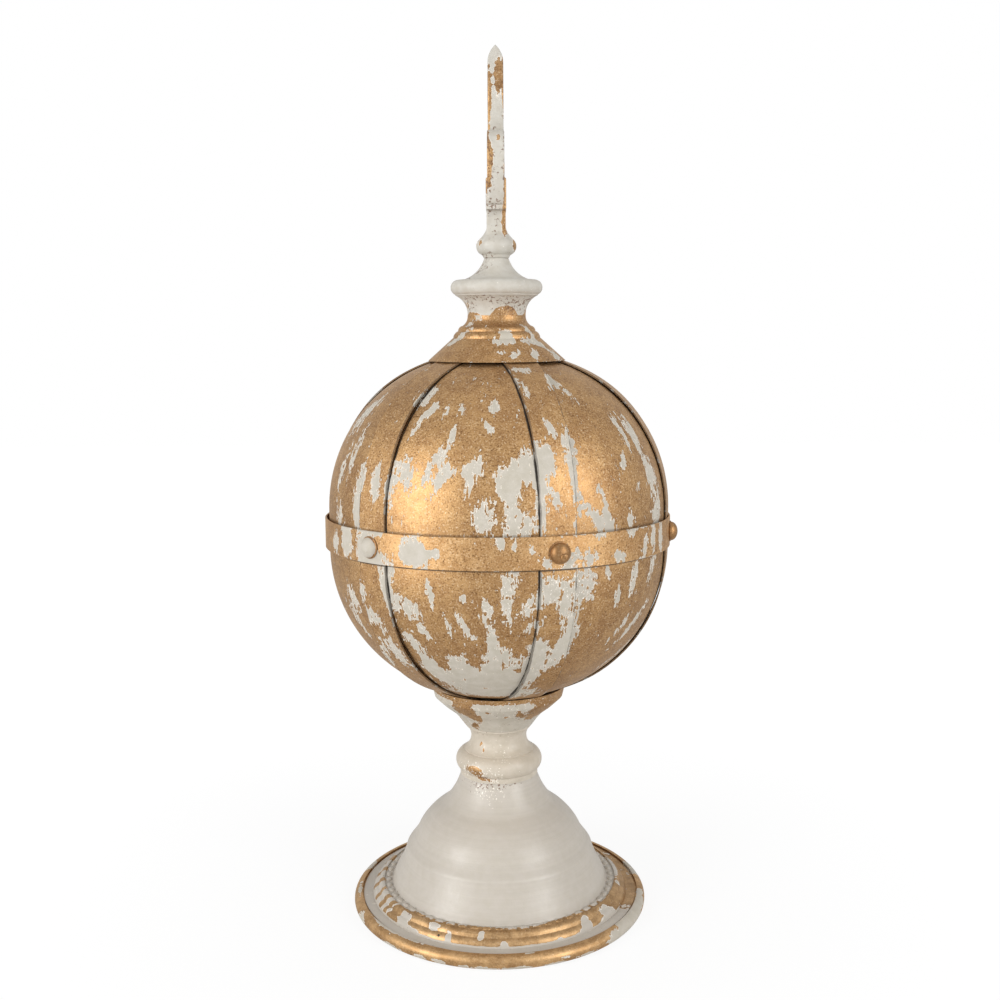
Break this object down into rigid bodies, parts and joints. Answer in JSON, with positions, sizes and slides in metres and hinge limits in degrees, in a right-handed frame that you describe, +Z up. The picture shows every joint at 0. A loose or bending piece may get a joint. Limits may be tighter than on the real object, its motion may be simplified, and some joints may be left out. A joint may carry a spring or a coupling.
{
  "type": "roof finial",
  "caption": "Tall roof finial: flared sheet base, knop and cup, strapped and belted ball with rivets, moulded collar, rimmed knop and a fleur-de-lis on top.",
  "frame": {"origin": "centre of the base ring's underside, on the ground", "axes": "+Z up the finial's axis to the fleur-de-lis; -Y is the front, which the ornament's edge and the crown's slight lean face; +X to the right"},
  "size_m": [0.2948, 0.2878, 0.7133],
  "materials": {
    "gilt_sheet": "chipped gold leaf over beige-grey paint",
    "gilt_straps": "chipped gold leaf over beige-grey paint",
    "painted_sheet": "satin beige-grey paint with chips of gold at its edges",
    "painted_casting": "beige-grey paint, speckled brown, with traces of gold",
    "rivet_heads": "worn gold over brown"
  },
  "bodies": {
    "root": {"base_ring": "gilt_sheet", "base_dome": "painted_sheet", "lower_knop": "painted_casting", "lower_cup": "gilt_sheet", "ball": "gilt_sheet", "strap_1": "gilt_straps", "strap_2": "gilt_straps", "strap_3": "gilt_straps", "strap_4": "gilt_straps", "strap_5": "gilt_straps", "strap_6": "gilt_straps", "belt": "gilt_straps", "rivet_1": "rivet_heads", "rivet_2": "rivet_heads", "rivet_3": "rivet_heads", "rivet_4": "rivet_heads", "rivet_5": "rivet_heads", "rivet_6": "rivet_heads", "upper_collar": "gilt_sheet", "upper_knop": "painted_casting", "fleur_de_lis": "painted_casting"}
  },
  "joints": []
}
